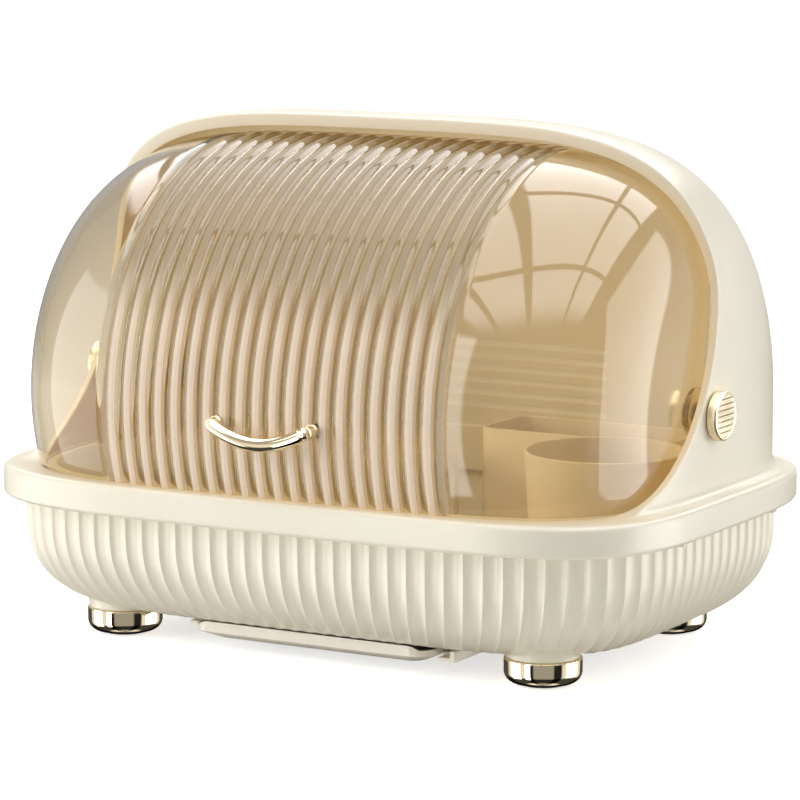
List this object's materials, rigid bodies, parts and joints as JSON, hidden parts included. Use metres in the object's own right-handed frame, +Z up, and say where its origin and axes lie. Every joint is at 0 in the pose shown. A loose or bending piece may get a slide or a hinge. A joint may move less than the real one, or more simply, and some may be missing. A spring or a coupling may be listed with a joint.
{
  "type": "covered dish drainer",
  "caption": "Covered dish drainer: fluted tub on feet, rear hood, ribbed clear cover that swings up on side pivots, drip tray and inner rack.",
  "frame": {"origin": "middle of the footprint, on the plane the feet stand on", "axes": "+X to the right along the long side, +Y to the back, +Z up, seen from the side with the handle"},
  "size_m": [0.44, 0.322, 0.3085],
  "materials": {
    "tub_plastic": "satin cream",
    "housing_plastic": "satin cream",
    "clear_amber": "clear amber, polished",
    "pale_gold": "polished pale gold",
    "cream_small": "satin cream",
    "inner_white": "satin off-white",
    "soft_grey": "matt",
    "screw_steel": "plain"
  },
  "bodies": {
    "base": {"base_tub": "tub_plastic", "upper_housing": "housing_plastic", "foot_cup_front_left": "pale_gold", "foot_cup_front_right": "pale_gold", "foot_cup_back_left": "pale_gold", "foot_cup_back_right": "pale_gold", "tray_runner_left": "cream_small", "tray_runner_right": "cream_small", "drain_nozzle": "inner_white", "hinge_bush_left": "inner_white", "hinge_bush_right": "inner_white", "foot_pad_front_left": "soft_grey", "foot_pad_front_right": "soft_grey", "foot_pad_back_left": "soft_grey", "foot_pad_back_right": "soft_grey", "foot_screw_front_left": "screw_steel", "foot_screw_front_right": "screw_steel", "foot_screw_back_left": "screw_steel", "foot_screw_back_right": "screw_steel", "housing_screw_front_left": "screw_steel", "housing_screw_back_left": "screw_steel", "housing_screw_front_right": "screw_steel", "housing_screw_back_right": "screw_steel"},
    "cover": {"clear_cover": "clear_amber", "pull_handle": "pale_gold", "handle_screw_left": "screw_steel", "handle_screw_right": "screw_steel", "handle_washer_left": "soft_grey", "handle_washer_right": "soft_grey", "hinge_pin_left": "screw_steel", "hinge_pin_right": "screw_steel", "hinge_spacer_left": "inner_white", "hinge_spacer_right": "inner_white", "hinge_knob_left": "pale_gold", "hinge_knob_right": "pale_gold"},
    "tray": {"drip_tray": "cream_small"},
    "board": {"drain_board": "inner_white"},
    "rack": {"plate_rack": "inner_white"},
    "cup": {"cutlery_cup": "inner_white"},
    "box": {"utensil_box": "inner_white"}
  },
  "joints": [
    {"name": "cover_hinge", "type": "hinge", "parent": "base", "child": "cover", "pos_m": [0, 0, 0.146], "axis": [-1, 0, 0], "range_deg": [0, 80]},
    {"name": "drip_tray_slide", "type": "slide", "parent": "base", "child": "tray", "axis": [0, -1, 0], "range_m": [0, 0.11]},
    {"name": "drain_board_lift", "type": "slide", "parent": "base", "child": "board", "axis": [0, 0, 1], "range_m": [0, 0.03]},
    {"name": "plate_rack_lift", "type": "slide", "parent": "board", "child": "rack", "axis": [0, 0, 1], "range_m": [0, 0.05]},
    {"name": "cutlery_cup_lift", "type": "slide", "parent": "board", "child": "cup", "axis": [0, 0, 1], "range_m": [0, 0.08]},
    {"name": "utensil_box_lift", "type": "slide", "parent": "board", "child": "box", "axis": [0, 0, 1], "range_m": [0, 0.06]}
  ]
}
